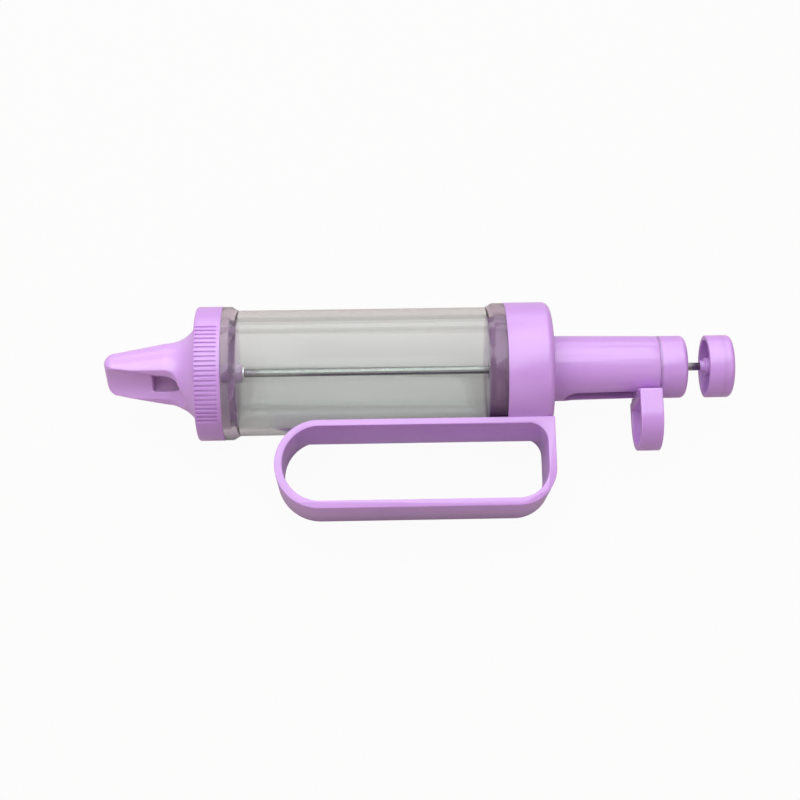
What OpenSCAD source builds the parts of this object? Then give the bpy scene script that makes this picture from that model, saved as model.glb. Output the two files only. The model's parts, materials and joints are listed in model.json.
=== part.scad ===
// Icing decorator press: a clear barrel between a screwed-on spreader nozzle and a rear body that is
// moulded in one with its hand loop. Pulling the ring trigger steps the piston rod forward.
// The press lies on its side as it does on a worktop: +X runs from the nozzle to the knob, the hand
// loop points to -Y, and Z = 0 is the worktop. Each piece is drawn about the barrel's axis with its
// nozzle tip at X = 0 and the hand loop towards -Z, and lie_down() then lays it on the worktop.

/* [Barrel] */
// Outer diameter of the clear barrel
barrel_d = 47; // [43:0.5:52]
// Wall of the clear barrel
barrel_wall = 2.5; // [2.1:0.1:3.2]
// Length of barrel seen between the coupler ring and the rear body
barrel_len = 104.6; // [90:0.2:125]
// Length of the front flange
front_flange_len = 5.6; // [4.5:0.1:7]
// Length of the rear flange
rear_flange_len = 6.8; // [5:0.1:9]
// Length of the slope from a flange down to the barrel
shoulder_len = 2.4; // [1.5:0.1:3.5]
// Wall of the threaded necks
neck_wall = 1.9; // [1.5:0.1:2.4]
// Length of the rear neck inside the rear body
rear_neck_len = 10; // [7:0.5:13]
// Thickness of each flat gasket
gasket_t = 1.5; // [1:0.1:2]

/* [Coupler ring] */
// Length of the coupler ring
ring_len = 9.8; // [9:0.1:13]
// Thickness of the ring's front face
ring_face_t = 2; // [1.5:0.1:2.5]
// Wall of the ring and of the rear body round the threads
shell_wall = 1.9; // [1.5:0.1:2.6]
// Number of grooves in each of the two grip zones
grip_grooves = 22; // [12:1:24]
// Turn of the middle of a grip zone from the side of the press
grip_turn = 15.5; // [0:0.5:90]
// Angle from one groove to the next
groove_step = 4.1; // [3.6:0.1:5]
// Width of a grip groove
groove_w = 0.8; // [0.5:0.1:1]
// Depth of a grip groove
groove_depth = 0.6; // [0.3:0.1:0.9]
// Length of the smooth lip behind the grooves
ring_lip = 1.4; // [1:0.1:3.5]

/* [Spreader nozzle] */
// Length of the spout in front of the ring
spout_len = 35.4; // [34:0.2:44]
// Radius of the spout just behind its rounded tip
spout_tip_r = 8.2; // [7.6:0.1:9]
// Rounding of the tip
spout_tip_round = 4.6; // [3.5:0.1:5.5]
// Radius of the spout where it starts to flare
spout_back_r = 11.6; // [11:0.1:12.4]
// Length of the flare in front of the ring
flare_len = 12; // [9:0.1:13]
// Radius of the hollow curve of the flare
flare_r = 13.2; // [12.4:0.1:15]
// Radius of the outlet bore
outlet_r = 6.3; // [5:0.1:6.6]
// Thickness of the nozzle's clamped flange
nozzle_flange_t = 2; // [1.5:0.1:2.5]
// Turn of the spreading mouth from the hand loop's side
mouth_turn = 27.5; // [0:2.5:90]

/* [Rear body] */
// Thickness of the seat behind the rear gasket
seat_t = 2.6; // [2:0.1:4]
// Thickness of the rear body's floor
cap_floor_t = 3; // [2.4:0.1:4]
// Rounding of the rear body's back edge
cap_round = 3; // [1.5:0.1:3.4]
// Length of the rear tube
tube_len = 40.4; // [39:0.2:50]
// Diameter of the rear tube at the rear body
tube_d = 24.6; // [23.6:0.1:27]
// How much narrower the rear tube is at its far end
tube_taper = 1.2; // [0.6:0.1:1.6]
// Wall of the rear tube at its far end
tube_wall = 2.1; // [1.7:0.1:2.5]
// Width of the trigger slot
slot_w = 10; // [8.5:0.1:11]
// Distance from the rear body to the slot
slot_start = 5.1; // [3.5:0.1:8]

/* [Hand loop] */
// Width of the loop's strap
strap_w = 26.6; // [22:0.2:29]
// Thickness of the strap
strap_t = 2.8; // [2.2:0.1:3.6]
// Thickness of the strap's saddle at its edges
saddle_t = 2.4; // [2:0.1:3.2]
// Thickness of the saddle at its middle
saddle_mid_t = 1.7; // [1.4:0.1:2.1]
// Clear height of the loop
loop_room = 27.7; // [25:0.1:36]
// Overall length of the loop
loop_len = 102.7; // [88:0.5:104]
// Rounding of the loop's lower back corner, on its outside
loop_back_r = 14; // [10:0.5:15]
// Rounding of the loop's upper back corner, on its inside
loop_top_r = 7; // [4:0.5:9]

/* [Trigger] */
// Length of the trigger along the press
trigger_len = 8.4; // [7:0.1:10]
// Width of the trigger ring
trigger_w = 24.4; // [23.4:0.1:27]
// Wall of the trigger ring
trigger_wall = 2; // [1.6:0.1:2.6]
// Distance from the press's axis to the top of the trigger ring
trigger_top = 11.2; // [9.2:0.1:11.6]
// Distance from the press's axis to the bottom of the trigger ring
trigger_drop = 31.9; // [30:0.1:38]

/* [Rod, knob and end cap] */
// Diameter of the steel rod
rod_d = 3; // [2.6:0.1:3.4]
// Length of the end cap
end_cap_len = 10.5; // [9:0.1:14]
// Rounding of the end cap's back edge
end_cap_round = 2; // [1:0.1:3]
// Length of bare rod between the end cap and the knob
rod_gap = 7.9; // [6:0.1:20]
// Length of the knob
knob_len = 9.6; // [8.5:0.1:14]
// Diameter of the knob
knob_d = 23.4; // [20:0.1:28]
// Wall of the knob
knob_wall = 1.7; // [1.3:0.1:2.2]
// Thickness of the knob's back
knob_back_t = 2.2; // [1.8:0.1:3]
// Rounding of the knob's back edge
knob_round = 1.8; // [1:0.1:2.6]
// Radius of the boss that holds the rod
boss_r = 3.3; // [2.9:0.1:4.2]

/* [Piston] */
// Length of the piston between its faces
piston_len = 4.4; // [4.2:0.1:8]
// Depth of the seal outside the piston's body
seal_depth = 2.8; // [2.2:0.1:3.4]
// Radius of the hub behind the piston
hub_r = 3.6; // [3.2:0.1:4.4]
// Length of the hub behind the piston
hub_len = 6.4; // [2:0.1:8]
// Gap in front of the piston when the press is stored
piston_gap = 0.4; // [0.4:0.1:3.8]

/* [Clutch] */
// Diameter of the spring's wire
wire_d = 0.8; // [0.6:0.05:0.9]
// Mean radius of the spring
spring_r = 5.2; // [4.4:0.1:6.2]
// Number of turns in the spring
spring_turns = 6; // [4:1:6]
// Thickness of the gripping plate
plate_t = 1.6; // [1.2:0.1:2]

/* [Hidden] */
$fn = 96;

lavender = [0.82, 0.68, 0.91];
clear = [0.86, 0.87, 0.85, 0.4];
steel = [0.68, 0.68, 0.67];
silicone = [0.78, 0.78, 0.8];
rubber = [0.3, 0.28, 0.3];

// Clearances that several pieces share
cut = 1;                // how far a cut runs past the faces that it opens
thread_gap = 0.3;       // between a threaded neck and what screws over it
slide_gap = 0.3;        // between pieces that slide past each other
run_clear = 0.06;       // radial play of the rod where it is guided
plate_clear = 0.1;      // radial play of the rod in the gripping plate
seal_clear = 0.05;      // radial play of the seal in the barrel
press_gap = 0.1;        // between fixed pieces that plug into each other

// Barrel, necks and the two screwed shells
barrel_r = barrel_d / 2;
bore_r = barrel_r - barrel_wall;
neck_r = bore_r + neck_wall;
shell_in_r = neck_r + thread_gap;
end_r = shell_in_r + shell_wall;
flange_inset = 0.1;
flange_r = end_r - flange_inset;

// Stations along the axis, from the nozzle's tip
ring_x = spout_len;
nozzle_flange_x = ring_x + ring_face_t;
nozzle_gasket_x = nozzle_flange_x + nozzle_flange_t;
barrel_x = nozzle_gasket_x + gasket_t;
ring_end_x = ring_x + ring_len;
cap_x = ring_end_x + barrel_len;
barrel_end_x = cap_x + rear_neck_len;
seat_x = barrel_end_x + gasket_t;
floor_x = seat_x + seat_t;
tube_x = floor_x + cap_floor_t;
tube_end_x = tube_x + tube_len;
end_cap_end_x = tube_end_x + end_cap_len;
knob_x = end_cap_end_x + rod_gap;
total_len = knob_x + knob_len;

// Coupler ring
ring_round = 1;
ring_hole_gap = 0.35;
groove_start = 0.7;

// Nozzle: the spout's outline, its flange and its outlet
flare_x = ring_x - flare_len;
flare_centre_r = spout_back_r + flare_r;
flare_root_r = flare_centre_r - sqrt(pow(flare_r, 2) - pow(flare_len, 2));
funnel_len = 7;
funnel_wall = 2.4;
outlet_x = 18.2;

// Spreading mouth: a sloping floor that rounds down at the tip and up to a steep end
mouth_back = 6.5;
mouth_end_x = ring_x - mouth_back;
mouth_round = 5.7;
mouth_floor_h = 6.7;
mouth_slope = 7.5;
mouth_nose_r = 7;
mouth_nose_x = 6.4;
dish_r = 9;
dish_x = 22;
dish_h = 12.8;
dish_tip_r = 15.5;
dish_len = 26;
dish_rise = 6;
arc_steps = 8;

// Rear plug that closes the barrel and guides the rod
plug_reach = 5.8;
plug_face_t = 2.4;
plug_wall = 2.2;
plug_gap = 0.5;
plug_x = cap_x - plug_reach;
plug_r = bore_r - plug_gap;
bush_r = 4;
bush_lip = 1.2;
bush_lip_t = 1;

// Piston, nut and retaining ring
piston_x = barrel_x + piston_gap;
piston_end_x = piston_x + piston_len;
hub_end_x = piston_end_x + hub_len;
piston_r = bore_r - seal_depth;
seal_groove = 1.4;
piston_lip = 1.3;
rib_t = 1.2;
rib_count = 6;
pocket_depth = 2;
rim_t = 1.6;
nut_r = 3.1;
nut_t = 2.2;
nut_gap = 0.3;
clip_r = 2.7;
clip_t = 0.8;
rod_r = rod_d / 2;

// Hand loop
saddle_gap = 0.35;
saddle_r = flange_r + saddle_gap;
saddle_edge = sqrt(pow(saddle_r, 2) - pow(strap_w / 2, 2));
belly_edge = saddle_edge + saddle_t;
belly_sag = saddle_r + saddle_mid_t - belly_edge;
belly_r = (pow(strap_w / 2, 2) + pow(belly_sag, 2)) / (2 * belly_sag);
loop_top = belly_edge;
loop_floor = loop_top + loop_room;
loop_base = loop_floor + strap_t;
loop_end_x = tube_x;
loop_x = loop_end_x - loop_len;

// Rear tube, carriage and clutch
tube_r = tube_d / 2;
tube_end_r = (tube_d - tube_taper) / 2;
tube_in_r = tube_end_r - tube_wall;
trigger_x = tube_end_x - trigger_len;
carriage_r = tube_in_r - slide_gap;
neck_half = slot_w / 2 - slide_gap;
rod_room = 0.7;
stop_gap = 0.5;
tube_room_r = tube_r + slide_gap;
trigger_bar = 1.8;
plate_x = trigger_x - plate_t;
seam_round = 0.3;
plate_gap = 0.4;
plate_r = tube_in_r - plate_gap;
plate_half_w = 7;
washer_t = 0.8;
washer_rim = 1.5;
washer_r = spring_r + washer_rim;
spring_x = tube_x + washer_t;
spring_len = plate_x - spring_x;
knob_r = knob_d / 2;
guide_len = 3;
neck_root = 3;
nib_h = 2.2;
carriage_relief = 1.3;
collar_r = 2.3;
collar_len = 1.8;
knob_web_t = 1.2;
knob_web_inset = 4;

// How the press lies: the rear body and the loop's lower edge touch the worktop
reach = sqrt(pow(strap_w / 2, 2) + pow(loop_base, 2));
lie_tilt = asin(end_r / reach) - atan(strap_w / 2 / loop_base);
low_y = -(strap_w / 2 * sin(lie_tilt) + loop_base * cos(lie_tilt));
high_y = end_r;
mid_y = (low_y + high_y) / 2;
echo(lie_tilt = lie_tilt, total_len = total_len, end_r = end_r, mid_y = mid_y);

// Lays a piece that is drawn about the axis on the worktop
module lie_down()
    translate([-total_len / 2, -mid_y, end_r])
        rotate([lie_tilt - 90, 0, 0])
            children();

// Turns an outline drawn as [radius, station] about the axis
module turned() rotate([0, 90, 0]) rotate_extrude() children();

// A round bar or bore on the axis
module bar(r, x0, x1)
    translate([x0, 0, 0]) rotate([0, 90, 0]) cylinder(r = r, h = x1 - x0);

// A plain ring on the axis
module band(r_in, r_out, x0, x1)
    turned() translate([r_in, x0]) square([r_out - r_in, x1 - x0]);

// Extrudes an outline drawn as [Y, Z] along the axis
module along(x0, length)
    translate([x0, 0, 0]) rotate([90, 0, 90]) linear_extrude(length) children();

// Extrudes an outline drawn as [X, Z] sideways
module sideways(width) rotate([90, 0, 0]) linear_extrude(width, center = true) children();

// Outline of a ring's section with a rounded outer edge at its front, its back or both
module section(r_in, r_out, x0, x1, front = 0, back = 0) {
    translate([r_in, x0 + front]) square([r_out - r_in, x1 - x0 - front - back]);
    if (front > 0) {
        translate([r_in, x0]) square([r_out - r_in - front, front]);
        translate([r_out - front, x0 + front]) circle(front);
    }
    if (back > 0) {
        translate([r_in, x1 - back]) square([r_out - r_in - back, back]);
        translate([r_out - back, x1 - back]) circle(back);
    }
}

// Outline of the spout: rounded tip, straight taper and hollow flare
module spout_outline() {
    intersection() {
        translate([spout_tip_r - spout_tip_round, spout_tip_round]) circle(spout_tip_round);
        square([spout_tip_r, 2 * spout_tip_round]);
    }
    square([spout_tip_r - spout_tip_round, spout_tip_round]);
    difference() {
        polygon([[0, spout_tip_round], [spout_tip_r, spout_tip_round], [spout_back_r, flare_x],
            [flare_centre_r, flare_x], [flare_root_r, ring_x], [0, ring_x]]);
        translate([flare_centre_r, flare_x]) circle(flare_r);
    }
}

// Points along an arc, from one angle to another
function arc_points(centre, r, from, to, steps) =
    [for (i = [0 : steps]) let (a = from + (to - from) * i / steps) centre + r * [cos(a), sin(a)]];

// Side view of what the mouth takes away, drawn as [X, height towards the mouth]: the floor rounds
// down at the tip, runs straight and curves up to the steep end
module mouth_outline() {
    run_x = mouth_end_x - mouth_round;
    tip_h = mouth_floor_h - (run_x - mouth_nose_x) * tan(mouth_slope);
    nose = [mouth_nose_x + mouth_nose_r * sin(mouth_slope),
        tip_h - mouth_nose_r * cos(mouth_slope)];
    polygon(concat(
        arc_points(nose, mouth_nose_r, 180, 90 + mouth_slope, arc_steps),
        arc_points([run_x, mouth_floor_h + mouth_round], mouth_round, -90, 0, arc_steps),
        [[mouth_end_x, 2 * end_r], [-cut, 2 * end_r], [-cut, nose[1] - cut]]));
}

module nozzle() color(lavender) lie_down() rotate([-mouth_turn, 0, 0])
    difference() {
        turned() {
            spout_outline();
            translate([0, ring_x]) square([flare_root_r, ring_face_t]);
            translate([0, nozzle_flange_x]) square([neck_r, nozzle_flange_t]);
        }
        mirror([0, 0, 1]) sideways(2 * end_r) mouth_outline();
        translate([dish_x, 0, -dish_h]) rotate([0, -dish_rise - 90, 0])
            rotate_extrude()
                polygon(concat(arc_points([0, 0], dish_r, -90, 0, arc_steps),
                    [[dish_tip_r, dish_len], [0, dish_len]]));
        bar(outlet_r, outlet_x, ring_x);
        turned() polygon([[0, ring_x - funnel_len], [outlet_r, ring_x - funnel_len],
            [flare_root_r - funnel_wall, nozzle_gasket_x + cut], [0, nozzle_gasket_x + cut]]);
    }

module coupler_ring() color(lavender) lie_down()
    difference() {
        turned() section(flare_root_r + ring_hole_gap, end_r, ring_x, ring_end_x, ring_round, 0);
        bar(shell_in_r, nozzle_flange_x, ring_end_x + cut);
        for (side = [0, 180], i = [0 : grip_grooves - 1])
            rotate([side + grip_turn - 90 + (i - (grip_grooves - 1) / 2) * groove_step, 0, 0])
                translate([ring_x + groove_start, -groove_w / 2, end_r - groove_depth])
                    cube([ring_len - ring_lip - groove_start, groove_w, groove_depth + cut]);
    }

module nozzle_gasket() color(silicone) lie_down()
    band(bore_r - seal_depth, neck_r, nozzle_gasket_x, barrel_x);

module barrel() color(clear) lie_down()
    turned() polygon([
        [bore_r, barrel_x], [neck_r, barrel_x], [neck_r, ring_end_x], [flange_r, ring_end_x],
        [flange_r, ring_end_x + front_flange_len - shoulder_len],
        [barrel_r, ring_end_x + front_flange_len],
        [barrel_r, cap_x - rear_flange_len], [flange_r, cap_x - rear_flange_len + shoulder_len],
        [flange_r, cap_x], [neck_r, cap_x], [neck_r, barrel_end_x], [bore_r, barrel_end_x]]);

module barrel_gasket() color(silicone) lie_down() band(bore_r, neck_r, barrel_end_x, seat_x);

// One moulded disc with a groove for the seal, ribs in its back and a hub for the rod
module piston() color(lavender) lie_down()
    difference() {
        union() {
            difference() {
                turned() polygon([[0, piston_x], [piston_r, piston_x],
                    [piston_r, piston_x + piston_lip], [piston_r - seal_groove, piston_x + piston_lip],
                    [piston_r - seal_groove, piston_end_x - piston_lip],
                    [piston_r, piston_end_x - piston_lip], [piston_r, piston_end_x],
                    [0, piston_end_x]]);
                band(hub_r, piston_r - seal_groove - rim_t, piston_end_x - pocket_depth,
                    piston_end_x + cut);
            }
            bar(hub_r, piston_end_x - pocket_depth, hub_end_x);
            for (i = [0 : rib_count - 1])
                rotate([i * 360 / rib_count, 0, 0])
                    translate([piston_end_x - pocket_depth, hub_r / 2, -rib_t / 2])
                        cube([pocket_depth, piston_r - seal_groove - rim_t / 2 - hub_r / 2, rib_t]);
        }
        bar(rod_r + run_clear, piston_x - cut, hub_end_x + cut);
        bar(nut_r + nut_gap, piston_x - cut, piston_x + nut_t);
    }

// Soft ring with a waist between two lips that wipe the barrel
module piston_seal() color(silicone) lie_down()
    turned() polygon([
        [piston_r - seal_groove, piston_x + piston_lip], [piston_r, piston_x + piston_lip],
        [bore_r - seal_clear, piston_x + piston_lip / 2],
        [bore_r - seal_clear, piston_x + piston_lip],
        [bore_r - seal_depth / 2, piston_x + piston_len / 2],
        [bore_r - seal_clear, piston_end_x - piston_lip],
        [bore_r - seal_clear, piston_end_x - piston_lip / 2],
        [piston_r, piston_end_x - piston_lip],
        [piston_r - seal_groove, piston_end_x - piston_lip]]);

module plunger_rod() color(steel) lie_down() bar(rod_r, piston_x, total_len - knob_back_t);

module piston_nut() color(steel) lie_down()
    difference() {
        translate([piston_x, 0, 0]) rotate([0, 90, 0]) cylinder(r = nut_r, h = nut_t, $fn = 6);
        bar(rod_r, piston_x - cut, piston_x + nut_t + cut);
    }

module retaining_ring() color(steel) lie_down()
    band(rod_r, clip_r, hub_end_x, hub_end_x + clip_t);

// Cup that opens towards the press, with a webbed boss for the rod
module rod_knob() color(lavender) lie_down()
    difference() {
        union() {
            difference() {
                turned() section(0, knob_r, knob_x, total_len, 0, knob_round);
                bar(knob_r - knob_wall, knob_x - cut, total_len - knob_back_t);
            }
            bar(boss_r, knob_x, total_len - knob_back_t);
            bar(collar_r, knob_x - collar_len, knob_x + cut);
            for (turn = [0, 90])
                rotate([turn, 0, 0])
                    translate([knob_x + knob_web_inset, -knob_r + knob_wall / 2, -knob_web_t / 2])
                        cube([knob_len - knob_back_t - knob_web_inset, 2 * knob_r - knob_wall,
                            knob_web_t]);
        }
        bar(rod_r, knob_x - collar_len - cut, total_len - knob_back_t);
    }

// Side view of the loop, outside or inside: round at the front, with two corner radii at the back
module loop_outline(top, base, x0, x1, low_r, top_r) {
    front_r = (base - top) / 2;
    front_x = x0 + front_r;
    translate([front_x, -top - front_r]) circle(front_r);
    translate([front_x, low_r - base]) square([x1 - front_x, base - top - low_r - top_r]);
    translate([front_x, -base]) square([x1 - front_x - low_r, low_r]);
    translate([x1 - low_r, low_r - base]) circle(low_r);
    if (top_r > 0) {
        translate([front_x, -top - top_r]) square([x1 - front_x - top_r, top_r]);
        translate([x1 - top_r, -top - top_r]) circle(top_r);
    }
}

// The strap of the loop, with a saddle over it that clears the barrel and is curved below
module hand_loop()
    difference() {
        sideways(strap_w)
            loop_outline(saddle_edge, loop_base, loop_x, loop_end_x, loop_back_r, 0);
        bar(saddle_r, loop_x - cut, cap_x);
        difference() {
            sideways(strap_w + 2 * cut)
                loop_outline(belly_edge, loop_floor, loop_x + strap_t, loop_end_x - strap_t,
                    loop_back_r - strap_t, loop_top_r);
            translate([0, 0, belly_r - saddle_r - saddle_mid_t])
                bar(belly_r, loop_x, loop_end_x);
        }
    }

// Cap, hand loop and slotted tube in one moulding
module rear_body() color(lavender) lie_down()
    difference() {
        union() {
            hand_loop();
            turned() section(0, end_r, cap_x, tube_x, 0, cap_round);
            turned() polygon([[0, floor_x], [tube_r, floor_x], [tube_r, tube_x],
                [tube_end_r, tube_end_x], [0, tube_end_x]]);
        }
        bar(shell_in_r, cap_x - cut, seat_x);
        bar(plug_r + press_gap, seat_x - cut, floor_x);
        bar(rod_r + rod_room, floor_x - cut, tube_x + cut);
        bar(tube_in_r, tube_x, tube_end_x + cut);
        translate([tube_x + slot_start + slot_w / 2, 0, -tube_r - cut]) {
            cylinder(d = slot_w, h = tube_r + cut);
            translate([0, -slot_w / 2, 0]) cube([tube_len, slot_w, tube_r + cut]);
        }
    }

module rear_plug() color(lavender) lie_down()
    difference() {
        bar(plug_r, plug_x, floor_x);
        bar(plug_r - plug_wall, plug_x + plug_face_t, floor_x + cut);
        bar(bush_r, plug_x - cut, plug_x + plug_face_t + cut);
    }

// Soft bush that wipes the rod, held in the rear plug by its lip
module rod_seal() color(rubber) lie_down()
    difference() {
        union() {
            bar(bush_r, plug_x, plug_x + plug_face_t);
            bar(bush_r + bush_lip, plug_x + plug_face_t, plug_x + plug_face_t + bush_lip_t);
        }
        bar(rod_r + run_clear, plug_x - cut, plug_x + plug_face_t + bush_lip_t + cut);
    }

// Guides the rod at the back; its upper half reaches into the tube as the plate's stop
module end_cap() color(lavender) lie_down()
    difference() {
        union() {
            turned() section(0, tube_end_r, tube_end_x, end_cap_end_x, seam_round, end_cap_round);
            intersection() {
                bar(tube_in_r - press_gap, trigger_x, end_cap_end_x - end_cap_round);
                translate([trigger_x, -tube_in_r, stop_gap])
                    cube([trigger_len + cut, 2 * tube_in_r, tube_in_r]);
            }
        }
        bar(rod_r + rod_room, trigger_x - cut, end_cap_end_x - guide_len);
        bar(rod_r + run_clear, trigger_x - cut, end_cap_end_x + cut);
    }

// Outline of the finger ring, which hugs the tube at its top
module finger_ring() {
    half_w = trigger_w / 2;
    low_z = trigger_drop - half_w;
    finger_r = half_w - trigger_wall;
    difference() {
        union() {
            translate([-half_w, -low_z]) square([trigger_w, low_z - trigger_top]);
            translate([0, -low_z]) circle(half_w);
        }
        circle(tube_room_r);
        translate([-finger_r, -low_z])
            square([2 * finger_r, low_z - tube_room_r - trigger_bar]);
        intersection() {
            translate([0, -low_z]) circle(finger_r);
            translate([-finger_r, -trigger_drop]) square([2 * finger_r, trigger_drop - low_z]);
        }
    }
}

// Ring trigger with a neck through the slot and the lower half of a slug that slides in the tube
module trigger() color(lavender) lie_down()
    union() {
        along(trigger_x, trigger_len) finger_ring();
        translate([trigger_x, -neck_half, -tube_room_r - trigger_bar / 2])
            cube([trigger_len, 2 * neck_half,
                tube_room_r + trigger_bar / 2 - carriage_r + neck_root]);
        difference() {
            bar(carriage_r, trigger_x, tube_end_x);
            translate([trigger_x - cut, -carriage_r, -stop_gap])
                cube([trigger_len + 2 * cut, 2 * carriage_r, carriage_r + cut]);
            bar(rod_r + rod_room, trigger_x - cut, tube_end_x + cut);
            translate([trigger_x - cut, -carriage_r, nib_h - carriage_r])
                cube([carriage_relief + cut, 2 * carriage_r, carriage_r]);
        }
    }

// Steel plate that grips the rod when its lower edge is pushed forward
module drive_plate() color(steel) lie_down()
    along(plate_x, plate_t)
        difference() {
            intersection() {
                circle(plate_r);
                square([2 * plate_half_w, 2 * plate_r], center = true);
            }
            circle(rod_r + plate_clear);
        }

// Points along the spring: a short straight start, the turns and a short straight end
function coil_point(x, turn) =
    [x, spring_r * cos(360 * turn), spring_r * sin(360 * turn)];
turn_steps = 8;
coil_steps = turn_steps * spring_turns;
coil_path = [
    coil_point(spring_x, 0),
    for (i = [0 : coil_steps])
        coil_point(spring_x + wire_d + (spring_len - 2 * wire_d) * i / coil_steps,
            spring_turns * i / coil_steps),
    coil_point(plate_x, spring_turns)];
coil_last = len(coil_path) - 1;
coil_sides = 6;

// Direction of the path at a point, and a point on the wire's skin there
function heading(i) =
    i == 0 || i == coil_last ? [1, 0, 0]
    : (coil_path[i + 1] - coil_path[i - 1]) / norm(coil_path[i + 1] - coil_path[i - 1]);
function skin_point(i, k) =
    let (out = [0, coil_path[i][1], coil_path[i][2]] / spring_r, side = cross(heading(i), out))
    coil_path[i] + wire_d / 2 * (out * cos(360 * k / coil_sides) + side * sin(360 * k / coil_sides));

// Least gap of the spring to itself, between points more than half a turn apart
next_turn = turn_steps / 2 + 1;
coil_gap = min([for (i = [0 : coil_last - next_turn], j = [i + next_turn : coil_last])
    norm(coil_path[j] - coil_path[i])]) - wire_d;
echo(spring_least_gap = coil_gap);

module return_spring() color(steel) lie_down()
    polyhedron(
        points = [for (i = [0 : coil_last], k = [0 : coil_sides - 1]) skin_point(i, k)],
        faces = concat(
            [for (k = [1 : coil_sides - 2]) [0, k, k + 1]],
            [for (k = [1 : coil_sides - 2])
                [coil_last * coil_sides, coil_last * coil_sides + k + 1,
                    coil_last * coil_sides + k]],
            [for (i = [0 : coil_last - 1], k = [0 : coil_sides - 1])
                [i * coil_sides + k, (i + 1) * coil_sides + k, i * coil_sides + (k + 1) % coil_sides]],
            [for (i = [0 : coil_last - 1], k = [0 : coil_sides - 1])
                [i * coil_sides + (k + 1) % coil_sides, (i + 1) * coil_sides + k,
                    (i + 1) * coil_sides + (k + 1) % coil_sides]]));

module spring_washer() color(steel) lie_down()
    band(rod_r + rod_room, washer_r, tube_x, spring_x);

nozzle();
coupler_ring();
nozzle_gasket();
barrel();
barrel_gasket();
piston();
piston_seal();
plunger_rod();
piston_nut();
retaining_ring();
rod_knob();
rear_body();
rear_plug();
rod_seal();
end_cap();
trigger();
drive_plate();
return_spring();
spring_washer();
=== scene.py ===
import json
import math

import bmesh
import bpy
from mathutils import Matrix, Vector
from mathutils.bvhtree import BVHTree


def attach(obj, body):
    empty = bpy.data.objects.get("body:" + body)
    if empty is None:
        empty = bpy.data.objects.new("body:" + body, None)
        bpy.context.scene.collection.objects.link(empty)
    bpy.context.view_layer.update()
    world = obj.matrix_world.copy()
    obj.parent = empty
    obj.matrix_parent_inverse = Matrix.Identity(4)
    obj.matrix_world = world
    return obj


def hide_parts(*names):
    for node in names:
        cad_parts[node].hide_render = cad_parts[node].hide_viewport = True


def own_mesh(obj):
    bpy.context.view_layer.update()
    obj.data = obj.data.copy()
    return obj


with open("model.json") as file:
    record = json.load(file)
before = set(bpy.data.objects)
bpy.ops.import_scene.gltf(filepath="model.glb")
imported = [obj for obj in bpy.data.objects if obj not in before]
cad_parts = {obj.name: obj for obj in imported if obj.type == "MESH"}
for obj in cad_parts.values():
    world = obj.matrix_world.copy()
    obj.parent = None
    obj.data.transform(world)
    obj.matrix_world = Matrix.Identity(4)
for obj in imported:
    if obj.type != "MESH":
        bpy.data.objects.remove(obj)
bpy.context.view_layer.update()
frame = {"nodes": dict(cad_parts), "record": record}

# The press lies on its hand loop. The tool's own frame, in millimetres, is X along the axis from the
# spout's tip, +Z away from the hand loop and -Y towards the viewer. A station is a place along X.
press = {
    "length": 235.3,        # spout's tip to knob
    "axisHeight": 25.1,     # barrel axis above the table
    "axisSide": 15.4873,    # barrel axis from the middle of the footprint
    "lean": 12.8689,        # degrees between the table and the hand loop's plane
}


def millimetres(value):
    return value / 1000.0


def stationToX(station):
    return millimetres(station - press["length"] / 2)


def layDown():
    # millimetres of the tool's frame to metres on the table
    turn = Matrix.Rotation(math.radians(press["lean"] - 90.0), 4, "X")
    place = Matrix.Translation((-press["length"] / 2, press["axisSide"], press["axisHeight"]))
    return Matrix.Scale(millimetres(1.0), 4) @ place @ turn


axisPoint = Vector((0.0, millimetres(press["axisSide"]), millimetres(press["axisHeight"])))


def finishPiece(bm, look):
    # hands a finished bmesh over as a piece that rides on its body
    mesh = bpy.data.meshes.new(look["name"])
    bm.to_mesh(mesh)
    bm.free()
    mesh.materials.clear()
    mesh.materials.append(look["finish"])
    piece = bpy.data.objects.new(look["name"], mesh)
    bpy.context.scene.collection.objects.link(piece)
    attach(piece, look["body"])
    if "node" in look:
        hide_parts(look["node"])
    return piece


def smoothFaces(bm, sharpAngle):
    for face in bm.faces:
        face.smooth = True
    for edge in bm.edges:
        lone = len(edge.link_faces) != 2
        edge.smooth = lone or edge.calc_face_angle(0.0) < math.radians(sharpAngle)


# How a node's loose triangles become one clean mesh, in mm and degrees.
mending = {
    "merge": 0.05,          # points closer than this become one
    "flatAngle": 0.4,       # faces that meet at less than this become one
    "strayShare": 0.85,     # of the edge radius, beyond which a point of a rounded edge is astray
    "mergeAgain": 0.002,    # the same for the points of the rounded edges
    "sharpAngle": 50.0,     # an edge above this stays crisp in the shading
}


# Bevels the edges, and puts a corner that the bevel threw out back on the part's surface.
def bevelEdges(bm, look):
    surface = BVHTree.FromBMesh(bm)
    bmesh.ops.dissolve_limit(bm, angle_limit=math.radians(mending["flatAngle"]),
                             verts=bm.verts[:], edges=bm.edges[:])
    crisp = [edge for edge in bm.edges if len(edge.link_faces) == 2
             and edge.calc_face_angle(0.0) > math.radians(look["overAngle"])]
    bmesh.ops.bevel(bm, geom=crisp, offset=millimetres(look["edge"]), offset_type="OFFSET",
                    segments=look["segments"], profile=0.5, affect="EDGES", clamp_overlap=False,
                    material=-1, loop_slide=True)
    for vert in bm.verts:
        nearest, _, _, gap = surface.find_nearest(vert.co)
        if gap > millimetres(look["edge"]) * mending["strayShare"]:
            vert.co = nearest
    bmesh.ops.remove_doubles(bm, verts=bm.verts[:], dist=millimetres(mending["mergeAgain"]))


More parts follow.
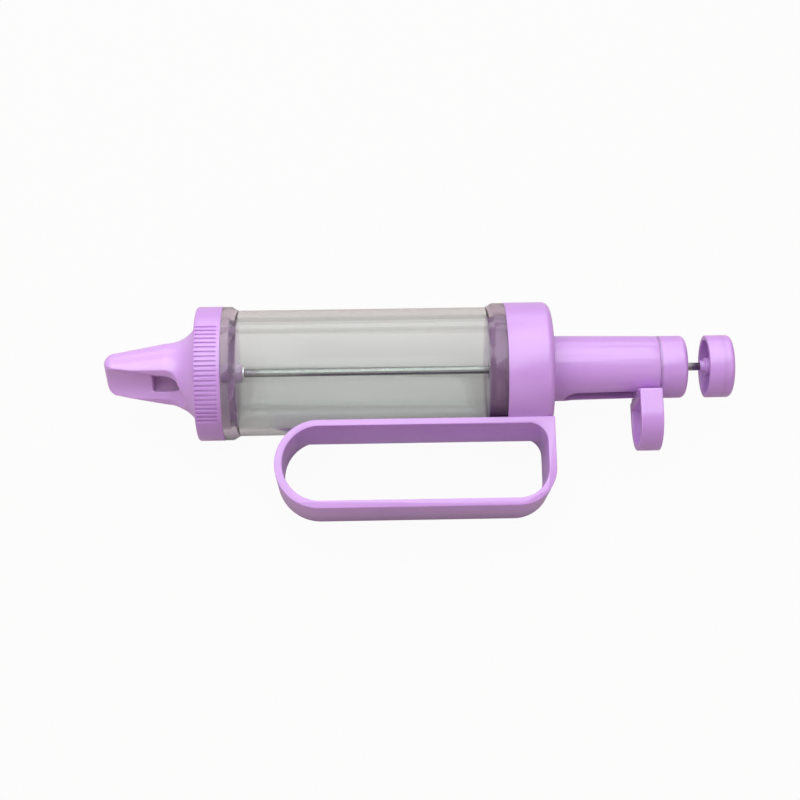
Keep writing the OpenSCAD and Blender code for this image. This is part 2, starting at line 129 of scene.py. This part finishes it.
# Lays a fine even skin over the part and smooths it, which rounds every edge alike.
def evenSkin(bm, look):
    draftMesh = bpy.data.meshes.new("draft")
    bm.to_mesh(draftMesh)
    draft = bpy.data.objects.new("draft", draftMesh)
    bpy.context.scene.collection.objects.link(draft)
    skin = draft.modifiers.new("skin", "REMESH")
    skin.mode = "VOXEL"
    skin.voxel_size = millimetres(look["voxel"])
    skinned = draft.evaluated_get(bpy.context.evaluated_depsgraph_get())
    skinMesh = bpy.data.meshes.new_from_object(skinned)
    bm.clear()
    bm.from_mesh(skinMesh)
    bpy.data.objects.remove(draft)
    bpy.data.meshes.remove(draftMesh)
    bpy.data.meshes.remove(skinMesh)
    for _ in range(look["smoothings"]):
        bmesh.ops.smooth_vert(bm, verts=bm.verts[:], factor=0.5,
                              use_axis_x=True, use_axis_y=True, use_axis_z=True)


def softenedCopy(look):
    # the moulded part itself with its moulded-in edge radius
    bm = bmesh.new()
    bm.from_mesh(frame["nodes"][look["node"]].data)
    bmesh.ops.remove_doubles(bm, verts=bm.verts[:], dist=millimetres(mending["merge"]))
    if "voxel" in look:
        evenSkin(bm, look)
    else:
        bevelEdges(bm, look)
    smoothFaces(bm, look.get("sharpAngle", mending["sharpAngle"]))
    return finishPiece(bm, look)


def newMaterial(name):
    made = bpy.data.materials.new(name)
    made.use_nodes = True
    tree = made.node_tree
    shader = tree.nodes["Principled BSDF"]
    coords = tree.nodes.new("ShaderNodeTexCoord")
    return made, tree, shader, coords


def noiseFrom(tree, coords, scale, detail):
    noise = tree.nodes.new("ShaderNodeTexNoise")
    noise.inputs["Scale"].default_value = scale
    noise.inputs["Detail"].default_value = detail
    tree.links.new(coords.outputs["Object"], noise.inputs["Vector"])
    return noise.outputs["Fac"]


def spread(tree, source, low, high):
    scaled = tree.nodes.new("ShaderNodeMapRange")
    scaled.inputs["To Min"].default_value = low
    scaled.inputs["To Max"].default_value = high
    tree.links.new(source, scaled.inputs["Value"])
    return scaled.outputs["Result"]


def calculate(tree, kind, operation, *terms):
    # a maths node whose terms are plain values or the outputs of other nodes
    node = tree.nodes.new(kind)
    node.operation = operation
    for socket, term in zip(node.inputs, terms):
        if isinstance(term, bpy.types.NodeSocket):
            tree.links.new(term, socket)
        else:
            socket.default_value = term
    return node


def alongPress(tree, coords):
    # 0 at the spout's tip and 1 at the knob
    split = tree.nodes.new("ShaderNodeSeparateXYZ")
    tree.links.new(coords.outputs["Object"], split.inputs["Vector"])
    along = tree.nodes.new("ShaderNodeMapRange")
    along.inputs["From Min"].default_value = stationToX(0.0)
    along.inputs["From Max"].default_value = stationToX(press["length"])
    tree.links.new(split.outputs["X"], along.inputs["Value"])
    return along.outputs["Result"]


# Painted shade: darker rings round the axis, which stand in for the shade in seams and grooves, each
# given by its station, half its width and its share of light.
def paintedShadeRings(tree, coords, colour, lines):
    ramp = tree.nodes.new("ShaderNodeValToRGB")
    stops = ramp.color_ramp.elements
    stops[0].color = (1.0, 1.0, 1.0, 1.0)
    for station, half, share in lines:
        for place, level in ((station - half, 1.0), (station, share), (station + half, 1.0)):
            stops.new(place / press["length"]).color = (level, level, level, 1.0)
    tree.links.new(alongPress(tree, coords), ramp.inputs["Fac"])
    dimmed = tree.nodes.new("ShaderNodeHueSaturation")
    tree.links.new(ramp.outputs["Color"], dimmed.inputs["Value"])
    tree.links.new(colour, dimmed.inputs["Color"])
    return dimmed.outputs["Color"]


# Painted light: the bore behind the outlet gets a paler base colour, which stands in for the light
# that comes through the thin walls and fills it.
def paintLightInBore(tree, coords, colour, bore):
    start = (stationToX(bore["from"]), axisPoint.y, axisPoint.z)
    fromStart = calculate(tree, "ShaderNodeVectorMath", "SUBTRACT", coords.outputs["Object"], start)
    across = calculate(tree, "ShaderNodeVectorMath", "MULTIPLY", fromStart.outputs["Vector"],
                       (0.0, 1.0, 1.0))
    radius = calculate(tree, "ShaderNodeVectorMath", "LENGTH", across.outputs["Vector"])
    inside = calculate(tree, "ShaderNodeMath", "LESS_THAN", radius.outputs["Value"],
                       millimetres(bore["radius"]))
    split = tree.nodes.new("ShaderNodeSeparateXYZ")
    tree.links.new(fromStart.outputs["Vector"], split.inputs["Vector"])
    behind = calculate(tree, "ShaderNodeMath", "GREATER_THAN", split.outputs["X"], 0.0)
    both = calculate(tree, "ShaderNodeMath", "MULTIPLY", inside.outputs[0], behind.outputs[0])
    paled = tree.nodes.new("ShaderNodeMixRGB")
    paled.inputs["Color2"].default_value = (*bore["tint"], 1.0)
    tree.links.new(both.outputs[0], paled.inputs["Fac"])
    tree.links.new(colour, paled.inputs["Color1"])
    return paled.outputs["Color"]


plasticLook = {
    "tint": (0.565, 0.285, 0.70),
    "deepTint": (0.54, 0.27, 0.675),
    "mottleScale": 45.0,
    "mottleEdges": (0.3, 0.7),      # of the noise, between which one tint passes into the other
    "roughness": 0.32,
    "roughnessSpread": 0.06,
    "gloss": 1.0,
    "refraction": 1.5,
    "grainScale": 900.0,
    "grainDetail": 4.0,
    "grainDepth": 0.012,            # mm
    "scatter": 0.2,                 # share of the light that spreads inside the plastic
    "scatterReach": (1.0, 0.45, 0.9),
    "scatterDepth": 0.003,
}


def makePlastic(name, look, lines=(), bore=None):
    made, tree, shader, coords = newMaterial(name)
    broad = noiseFrom(tree, coords, look["mottleScale"], 3.0)
    fine = noiseFrom(tree, coords, look["grainScale"], look["grainDetail"])
    mottle = tree.nodes.new("ShaderNodeValToRGB")
    tints = (look["deepTint"], look["tint"])
    for stop, place, tint in zip(mottle.color_ramp.elements, look["mottleEdges"], tints):
        stop.position = place
        stop.color = (*tint, 1.0)
    tree.links.new(broad, mottle.inputs["Fac"])
    colour = mottle.outputs["Color"]
    if lines:
        colour = paintedShadeRings(tree, coords, colour, lines)
    if bore:
        colour = paintLightInBore(tree, coords, colour, bore)
    tree.links.new(colour, shader.inputs["Base Color"])
    rough = spread(tree, fine, look["roughness"] - look["roughnessSpread"],
                   look["roughness"] + look["roughnessSpread"])
    tree.links.new(rough, shader.inputs["Roughness"])
    grain = tree.nodes.new("ShaderNodeBump")
    grain.inputs["Distance"].default_value = millimetres(look["grainDepth"])
    tree.links.new(fine, grain.inputs["Height"])
    tree.links.new(grain.outputs["Normal"], shader.inputs["Normal"])
    shader.inputs["IOR"].default_value = look["refraction"]
    shader.inputs["Specular IOR Level"].default_value = look["gloss"]
    shader.inputs["Subsurface Weight"].default_value = look["scatter"]
    shader.inputs["Subsurface Radius"].default_value = look["scatterReach"]
    shader.inputs["Subsurface Scale"].default_value = look["scatterDepth"]
    return made


lavenderPlastic = makePlastic("lavenderPlastic", plasticLook)

# painted light: the spout's base colour is paler, standing in for the light that comes through its
# thin walls
spoutPaintedLightLook = {**plasticLook, "tint": (0.66, 0.36, 0.79), "deepTint": (0.635, 0.345, 0.765),
                    "scatter": 0.3}
# painted light inside the bore, by station, radius in mm and the paler tint
spoutBoreLight = {"from": 18.05, "radius": 6.34, "tint": (0.90, 0.62, 0.96)}     # station and mm
spoutPaintedLightPlastic = makePlastic("spoutPaintedLightPlastic", spoutPaintedLightLook, bore=spoutBoreLight)

# rings of painted shade as (station, half the width, share of light); this one stands in for the
# shade in the seam between the tube and its cap
capSeamShade = [(207.5, 0.4, 0.06)]         # the seam between the tube and its cap
capPlastic = makePlastic("capPlastic", plasticLook, capSeamShade)
# painted shade that stands in for three shallow grooves round the knob
knobGrooveShade = [(228.6, 0.25, 0.9), (230.1, 0.25, 0.9), (231.6, 0.25, 0.9)]
knobPlastic = makePlastic("knobPlastic", plasticLook, knobGrooveShade)

# painted shade: a darker, greyer copy of the lavender plastic for the rear plug, which sits in the
# shade of the cap
shadedPlugLook = {**plasticLook, "tint": (0.40, 0.26, 0.44), "deepTint": (0.37, 0.24, 0.41)}
shadedPlugPlastic = makePlastic("shadedPlugPlastic", shadedPlugLook)
# painted shade: a darker, greyer copy of the lavender plastic for the piston inside the barrel
shadedPistonLook = {**plasticLook, "tint": (0.46, 0.30, 0.50), "deepTint": (0.43, 0.28, 0.47)}
shadedPistonPlastic = makePlastic("shadedPistonPlastic", shadedPistonLook)

siliconeLook = {**plasticLook, "tint": (0.52, 0.44, 0.54), "deepTint": (0.47, 0.40, 0.49),
                "roughness": 0.5, "roughnessSpread": 0.05, "gloss": 0.5,
                "grainScale": 700.0, "grainDepth": 0.01,
                "scatter": 0.5, "scatterReach": (1.0, 0.9, 1.0), "scatterDepth": 0.004}
milkySilicone = makePlastic("milkySilicone", siliconeLook)
rubberLook = {**plasticLook, "tint": (0.035, 0.03, 0.035), "deepTint": (0.025, 0.02, 0.025),
              "roughness": 0.55, "roughnessSpread": 0.05, "gloss": 0.4,
              "grainScale": 700.0, "grainDepth": 0.01, "scatter": 0.0}
darkRubber = makePlastic("darkRubber", rubberLook)

clearLook = {
    "tint": (0.875, 0.905, 0.885),
    # painted reflection: the clear flanges take on the colour of the lavender parts beside them, the
    # rear one darker still for painted shade
    "frontPaintedReflection": (0.72, 0.63, 0.73),    # the flanges pick up the colour of the parts beside them
    "rearPaintedReflectionShade": (0.60, 0.50, 0.59),
    "frontEnd": 50.2,                   # stations where the coloured ends stop
    "rearEnd": 143.4,
    "blend": 0.6,                       # mm over which they do
    "roughness": (0.027, 0.063),
    "roughnessScale": 9.0,
    "endRoughness": 0.08,               # the thick flanges blur what stands behind them
    "refraction": 1.46,
}


def makeClear(name, look):
    made, tree, shader, coords = newMaterial(name)
    rough = spread(tree, noiseFrom(tree, coords, look["roughnessScale"], 3.0), *look["roughness"])
    # the ramp paints the reflected colour and the shade into the flanges
    ramp = tree.nodes.new("ShaderNodeValToRGB")
    stops = ramp.color_ramp.elements
    stops[0].position = (look["frontEnd"] - look["blend"]) / press["length"]
    stops[0].color = (*look["frontPaintedReflection"], 1.0)
    stops[1].position = (look["rearEnd"] + look["blend"]) / press["length"]
    stops[1].color = (*look["rearPaintedReflectionShade"], 1.0)
    for station in (look["frontEnd"] + look["blend"], look["rearEnd"] - look["blend"]):
        stops.new(station / press["length"]).color = (*look["tint"], 0.0)
    tree.links.new(alongPress(tree, coords), ramp.inputs["Fac"])
    tree.links.new(ramp.outputs["Color"], shader.inputs["Base Color"])
    atEnds = tree.nodes.new("ShaderNodeMix")    # the ramp's alpha is 1 in the flanges
    atEnds.inputs["B"].default_value = look["endRoughness"]
    tree.links.new(ramp.outputs["Alpha"], atEnds.inputs["Factor"])
    tree.links.new(rough, atEnds.inputs["A"])
    tree.links.new(atEnds.outputs["Result"], shader.inputs["Roughness"])
    shader.inputs["IOR"].default_value = look["refraction"]
    shader.inputs["Transmission Weight"].default_value = 1.0
    return made


clearPlastic = makeClear("clearPlastic", clearLook)

rodSteelLook = {"tint": (0.28, 0.28, 0.275), "roughness": (0.17, 0.30), "lineScale": 1400.0,
                "lineStretch": 0.03}        # fine lines drawn along the rod
brightSteelLook = {**rodSteelLook, "tint": (0.6, 0.6, 0.6), "roughness": (0.25, 0.38),
                   "lineScale": 900.0}
springSteelLook = {**brightSteelLook, "tint": (0.5, 0.5, 0.51)}


def makeSteel(name, look):
    made, tree, shader, coords = newMaterial(name)
    mapping = tree.nodes.new("ShaderNodeMapping")
    mapping.inputs["Scale"].default_value = (look["lineStretch"], 1.0, 1.0)
    tree.links.new(coords.outputs["Object"], mapping.inputs["Vector"])
    lines = tree.nodes.new("ShaderNodeTexNoise")
    lines.inputs["Scale"].default_value = look["lineScale"]
    tree.links.new(mapping.outputs["Vector"], lines.inputs["Vector"])
    rough = spread(tree, lines.outputs["Fac"], *look["roughness"])
    tree.links.new(rough, shader.inputs["Roughness"])
    shader.inputs["Base Color"].default_value = (*look["tint"], 1.0)
    shader.inputs["Metallic"].default_value = 1.0
    return made


drawnSteel = makeSteel("drawnSteel", rodSteelLook)
brightSteel = makeSteel("brightSteel", brightSteelLook)
springWire = makeSteel("springWire", springSteelLook)

finishOfSlot = {
    "lavender_plastic": lavenderPlastic,
    "clear_plastic": clearPlastic,
    "silicone": milkySilicone,
    "dark_rubber": darkRubber,
    "polished_steel": drawnSteel,
    "bright_steel": brightSteel,
    "spring_steel": springWire,
}
slotOfNode = {part["node"]: part["material_slot"] for part in frame["record"]["subparts"]}
for nodeName, node in frame["nodes"].items():
    node.data.materials.clear()
    node.data.materials.append(finishOfSlot[slotOfNode[nodeName]])
print("finishes ready")

# Moulded and machined parts: each one's edge radius in mm with the angle between two faces from
# which it is given, or the fineness of its even skin in mm.
spoutLook = {"name": "spreaderSpout", "node": "nozzle", "body": "spout",
             "slot": "lavender_plastic", "finish": spoutPaintedLightPlastic,
             "voxel": 0.3, "smoothings": 2, "sharpAngle": 89.0}
ringLook = {"name": "screwRing", "node": "coupler_ring", "body": "ring",
            "slot": "lavender_plastic", "finish": lavenderPlastic,
            "edge": 0.1, "segments": 2, "overAngle": 30.0}
bodyLook = {"name": "rearBody", "node": "rear_body", "body": "press_body",
            "slot": "lavender_plastic", "finish": lavenderPlastic,
            "edge": 0.2, "segments": 2, "overAngle": 45.0}
plugLook = {"name": "rearPlug", "node": "rear_plug", "body": "press_body",
            "slot": "lavender_plastic", "finish": shadedPlugPlastic,
            "edge": 0.25, "segments": 2, "overAngle": 30.0}
endCapLook = {"name": "endCap", "node": "end_cap", "body": "press_body",
              "slot": "lavender_plastic", "finish": capPlastic,
              "edge": 0.15, "segments": 2, "overAngle": 40.0}
triggerLook = {"name": "ringTrigger", "node": "trigger", "body": "trigger_slug",
               "slot": "lavender_plastic", "finish": lavenderPlastic,
               "voxel": 0.25, "smoothings": 3, "sharpAngle": 89.0}
knobLook = {"name": "rodKnob", "node": "rod_knob", "body": "rod_and_knob",
            "slot": "lavender_plastic", "finish": knobPlastic,
            "edge": 0.25, "segments": 3, "overAngle": 30.0}
pistonLook = {"name": "pistonDisc", "node": "piston", "body": "piston_slide",
              "slot": "lavender_plastic", "finish": shadedPistonPlastic,
              "edge": 0.2, "segments": 2, "overAngle": 30.0}
barrelLook = {"name": "clearBarrel", "node": "barrel", "body": "press_body",
              "slot": "clear_plastic", "finish": clearPlastic,
              "edge": 0.3, "segments": 3, "overAngle": 20.0}
frontGasketLook = {"name": "frontGasket", "node": "nozzle_gasket", "body": "press_body",
                   "slot": "silicone", "finish": milkySilicone,
                   "edge": 0.2, "segments": 2, "overAngle": 40.0}
rearGasketLook = {"name": "rearGasket", "node": "barrel_gasket", "body": "press_body",
                  "slot": "silicone", "finish": milkySilicone,
                  "edge": 0.2, "segments": 2, "overAngle": 40.0}
sealLook = {"name": "pistonSeal", "node": "piston_seal", "body": "piston_slide",
            "slot": "silicone", "finish": milkySilicone,
            "edge": 0.12, "segments": 2, "overAngle": 40.0}
wiperLook = {"name": "rodWiper", "node": "rod_seal", "body": "press_body",
             "slot": "dark_rubber", "finish": darkRubber,
             "edge": 0.12, "segments": 2, "overAngle": 40.0}
rodLook = {"name": "pistonRod", "node": "plunger_rod", "body": "rod_and_knob",
           "slot": "polished_steel", "finish": drawnSteel,
           "edge": 0.2, "segments": 2, "overAngle": 50.0}
nutLook = {"name": "pistonNut", "node": "piston_nut", "body": "rod_and_knob",
           "slot": "bright_steel", "finish": brightSteel,
           "edge": 0.12, "segments": 2, "overAngle": 40.0}
clipLook = {"name": "retainingClip", "node": "retaining_ring", "body": "rod_and_knob",
            "slot": "bright_steel", "finish": brightSteel,
            "edge": 0.1, "segments": 2, "overAngle": 40.0}
plateLook = {"name": "clutchPlate", "node": "drive_plate", "body": "grip_plate",
             "slot": "bright_steel", "finish": brightSteel,
             "edge": 0.3, "segments": 2, "overAngle": 40.0}
washerLook = {"name": "springWasher", "node": "spring_washer", "body": "press_body",
              "slot": "bright_steel", "finish": brightSteel,
              "edge": 0.1, "segments": 2, "overAngle": 40.0}
for look in (spoutLook, ringLook, bodyLook, plugLook, endCapLook, triggerLook, knobLook, pistonLook,
             barrelLook, frontGasketLook, rearGasketLook, sealLook, wiperLook, rodLook, nutLook,
             clipLook, plateLook, washerLook):
    piece = softenedCopy(look)
    print("made", piece.name, len(piece.data.polygons))


# Winds a round wire about the X axis, by pairs of turns and their pitch, and closes its ends.
def coilWire(bm, look, windings):
    place = Matrix.Translation((look["start"], 0.0, look["coilRadius"]))
    place = place @ Matrix.Rotation(math.pi / 2, 4, "X")
    bmesh.ops.create_circle(bm, cap_ends=False, segments=look["wireSides"],
                            radius=look["wireRadius"], matrix=place)
    firstEnd = bm.edges[:]
    swept = bm.verts[:] + firstEnd
    for turns, pitch in windings:
        swept = bmesh.ops.spin(bm, geom=swept, cent=(0.0, 0.0, 0.0), axis=(1.0, 0.0, 0.0),
                               angle=2 * math.pi * turns,
                               steps=round(turns * look["stepsPerTurn"]),
                               dvec=(pitch / look["stepsPerTurn"], 0.0, 0.0))["geom_last"]
    lastEnd = [item for item in swept if isinstance(item, bmesh.types.BMEdge)]
    bmesh.ops.contextual_create(bm, geom=firstEnd)
    bmesh.ops.contextual_create(bm, geom=lastEnd)
    bmesh.ops.recalc_face_normals(bm, faces=bm.faces[:])


springLook = {
    "name": "returnSpring",
    "node": "return_spring",
    "body": "press_body",
    "slot": "spring_steel",
    "finish": springWire,
    "start": 168.1,         # stations of the middle of the wire in the first and the last coil
    "end": 196.9,
    "coilRadius": 5.2,
    "wireRadius": 0.4,
    "wireSides": 12,
    "openTurns": 5,
    "closedPitch": 0.9,     # the first and the last turn lie almost flat
    "stepsPerTurn": 28,
    "leanFrom": 190.0,      # from here on the turns lean away from the clutch plate, which swings
    "lean": 3.3,            # in by about this many degrees
    "hingeHeight": 9.2,     # where the plate hangs, above the axis
    "seat": 167.7,          # station of the end that stays
    "keep": 0.233,          # of its length, with the trigger pulled
    "sharpAngle": 60.0,
}
openLength = springLook["end"] - springLook["start"] - 2 * springLook["closedPitch"]
openPart = (springLook["openTurns"], openLength / springLook["openTurns"])
closedEnd = (1, springLook["closedPitch"])
bm = bmesh.new()
coilWire(bm, springLook, (closedEnd, openPart, closedEnd))
for vert in bm.verts:
    share = (vert.co.x - springLook["leanFrom"]) / (springLook["end"] - springLook["leanFrom"])
    give = (springLook["hingeHeight"] - vert.co.z) * math.tan(math.radians(springLook["lean"]))
    vert.co.x -= min(max(share, 0.0), 1.0) * give
bmesh.ops.transform(bm, matrix=layDown(), verts=bm.verts[:])
smoothFaces(bm, springLook["sharpAngle"])
returnSpring = finishPiece(bm, springLook)
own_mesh(returnSpring)

threadLook = {
    "name": "neckThread",
    "body": "press_body",
    "slot": "clear_plastic",
    "finish": clearPlastic,
    "start": 41.6,
    "coilRadius": 22.8,     # the wire stands a quarter of a millimetre out of the barrel's neck
    "wireRadius": 0.33,
    "wireSides": 12,
    "turns": 1.0,
    "pitch": 3.0,
    "stepsPerTurn": 72,
    "sharpAngle": 60.0,
}
bm = bmesh.new()
coilWire(bm, threadLook, ((threadLook["turns"], threadLook["pitch"]),))
bmesh.ops.transform(bm, matrix=layDown(), verts=bm.verts[:])
smoothFaces(bm, threadLook["sharpAngle"])
finishPiece(bm, threadLook)
print("spring and thread ready")


def seenByRays(tree, shares):
    # the share of plain white that each kind of ray sees, the largest where a ray is of two kinds
    path = tree.nodes.new("ShaderNodeLightPath")
    seen = [calculate(tree, "ShaderNodeMath", "MULTIPLY", path.outputs[kind], share).outputs[0]
            for kind, share in shares.items()]
    largest = seen[0]
    for level in seen[1:]:
        largest = calculate(tree, "ShaderNodeMath", "MAXIMUM", largest, level).outputs[0]
    return largest


def mixShaders(tree, share, lit, white, output):
    mixed = tree.nodes.new("ShaderNodeMixShader")
    tree.links.new(share, mixed.inputs["Fac"])
    tree.links.new(lit.outputs[0], mixed.inputs[1])
    tree.links.new(white.outputs[0], mixed.inputs[2])
    tree.links.new(mixed.outputs[0], tree.nodes[output].inputs["Surface"])


floorLook = {
    "size": 6.0,
    "tint": (0.50, 0.43, 0.42),
    "roughness": 0.9,
    "gloss": 0.1,
    # share of plain white that a ray sees on the table, where the rest takes the shadow
    "seen": {"Is Camera Ray": 0.95, "Is Glossy Ray": 0.2, "Is Transmission Ray": 0.05},
}
bm = bmesh.new()
bmesh.ops.create_grid(bm, x_segments=1, y_segments=1, size=floorLook["size"] / 2)
floorMesh = bpy.data.meshes.new("tableTop")
bm.to_mesh(floorMesh)
bm.free()
tableTop = bpy.data.objects.new("tableTop", floorMesh)
bpy.context.scene.collection.objects.link(tableTop)
floorFinish = bpy.data.materials.new("tableWhite")
floorFinish.use_nodes = True
floorTree = floorFinish.node_tree
floorShader = floorTree.nodes["Principled BSDF"]
floorShader.inputs["Base Color"].default_value = (*floorLook["tint"], 1.0)
floorShader.inputs["Roughness"].default_value = floorLook["roughness"]
floorShader.inputs["Specular IOR Level"].default_value = floorLook["gloss"]
floorWhite = floorTree.nodes.new("ShaderNodeEmission")
floorWhite.inputs["Color"].default_value = (1.0, 1.0, 1.0, 1.0)
mixShaders(floorTree, seenByRays(floorTree, floorLook["seen"]), floorShader, floorWhite,
           "Material Output")
floorMesh.materials.append(floorFinish)

worldLook = {
    "tint": (1.0, 0.85, 0.82),
    "level": 0.16,
    "seen": {"Is Camera Ray": 1.0, "Is Glossy Ray": 0.35, "Is Transmission Ray": 0.7},
}
studio = bpy.data.worlds.new("studio")
bpy.context.scene.world = studio
studio.use_nodes = True
skyTree = studio.node_tree
skyLight = skyTree.nodes["Background"]
skyLight.inputs["Color"].default_value = (*worldLook["tint"], 1.0)
skyLight.inputs["Strength"].default_value = worldLook["level"]
skyWhite = skyTree.nodes.new("ShaderNodeBackground")
skyWhite.inputs["Color"].default_value = (1.0, 1.0, 1.0, 1.0)
mixShaders(skyTree, seenByRays(skyTree, worldLook["seen"]), skyLight, skyWhite, "World Output")

# area lamps in metres and watts, all aimed at one point just above the table
lampAim = Vector((0.0, 0.0, 0.02))
lamps = {
    "backSoftbox": {"at": (-0.05, 0.95, 0.40), "size": (1.4, 0.35), "power": 2.8,
                    "tint": (0.94, 0.98, 1.0)},
    "topSoftbox": {"at": (-0.15, 0.24, 1.07), "size": (2.0, 1.3), "power": 21.0,
                   "tint": (0.94, 0.98, 1.0)},
    "frontFill": {"at": (-0.35, -0.9, 0.5), "size": (1.0, 0.8), "power": 1.4,
                  "tint": (1.0, 0.94, 0.92)},
    "rightFill": {"at": (0.75, -0.5, 0.75), "size": (1.0, 0.8), "power": 1.8,
                  "tint": (1.0, 0.97, 0.96)},
}
for lampName, lamp in lamps.items():
    lampData = bpy.data.lights.new(lampName, "AREA")
    lampData.shape = "RECTANGLE"
    lampData.size, lampData.size_y = lamp["size"]
    lampData.energy = lamp["power"]
    lampData.color = lamp["tint"]
    lampObject = bpy.data.objects.new(lampName, lampData)
    lampObject.location = lamp["at"]
    lampObject.rotation_euler = (lampAim - Vector(lamp["at"])).to_track_quat("-Z", "Y").to_euler()
    bpy.context.scene.collection.objects.link(lampObject)

view = {
    "elevation": 61.6,      # degrees above the table, from the hand loop's side
    "distance": 620.0,      # mm from the barrel's axis
    "station": 97.0,        # where the camera stands along the press
    "centreStation": 110.7, # what is in the middle of the picture
    "centreDrop": 10.9,     # mm below the axis in the picture
    "roll": 0.87,           # degrees
    "focalPixels": 1649.0,
    "widthPixels": 800.0,
    "sensor": 36.0,         # mm
    "clip": (0.01, 20.0),   # metres
}
lift = math.radians(view["elevation"])
pictureUp = Vector((0.0, math.sin(lift), math.cos(lift)))
stand = axisPoint + Vector((stationToX(view["station"]), 0.0, 0.0))
stand += Vector((0.0, -math.cos(lift), math.sin(lift))) * millimetres(view["distance"])
target = axisPoint + Vector((stationToX(view["centreStation"]), 0.0, 0.0))
target -= pictureUp * millimetres(view["centreDrop"])
back = (stand - target).normalized()
right = pictureUp.cross(back).normalized()
up = back.cross(right)
roll = math.radians(view["roll"])
camRight = right * math.cos(roll) - up * math.sin(roll)
camUp = right * math.sin(roll) + up * math.cos(roll)
cameraData = bpy.data.cameras.new("pictureCamera")
cameraData.sensor_width = view["sensor"]
cameraData.lens = view["focalPixels"] / view["widthPixels"] * view["sensor"]
cameraData.clip_start, cameraData.clip_end = view["clip"]
pictureCamera = bpy.data.objects.new("pictureCamera", cameraData)
turned = Matrix((camRight, camUp, back)).transposed().to_4x4()
pictureCamera.matrix_world = Matrix.Translation(stand) @ turned
bpy.context.scene.collection.objects.link(pictureCamera)
bpy.context.scene.camera = pictureCamera
bpy.context.scene.view_settings.view_transform = "Standard"
print("table, light and camera ready")
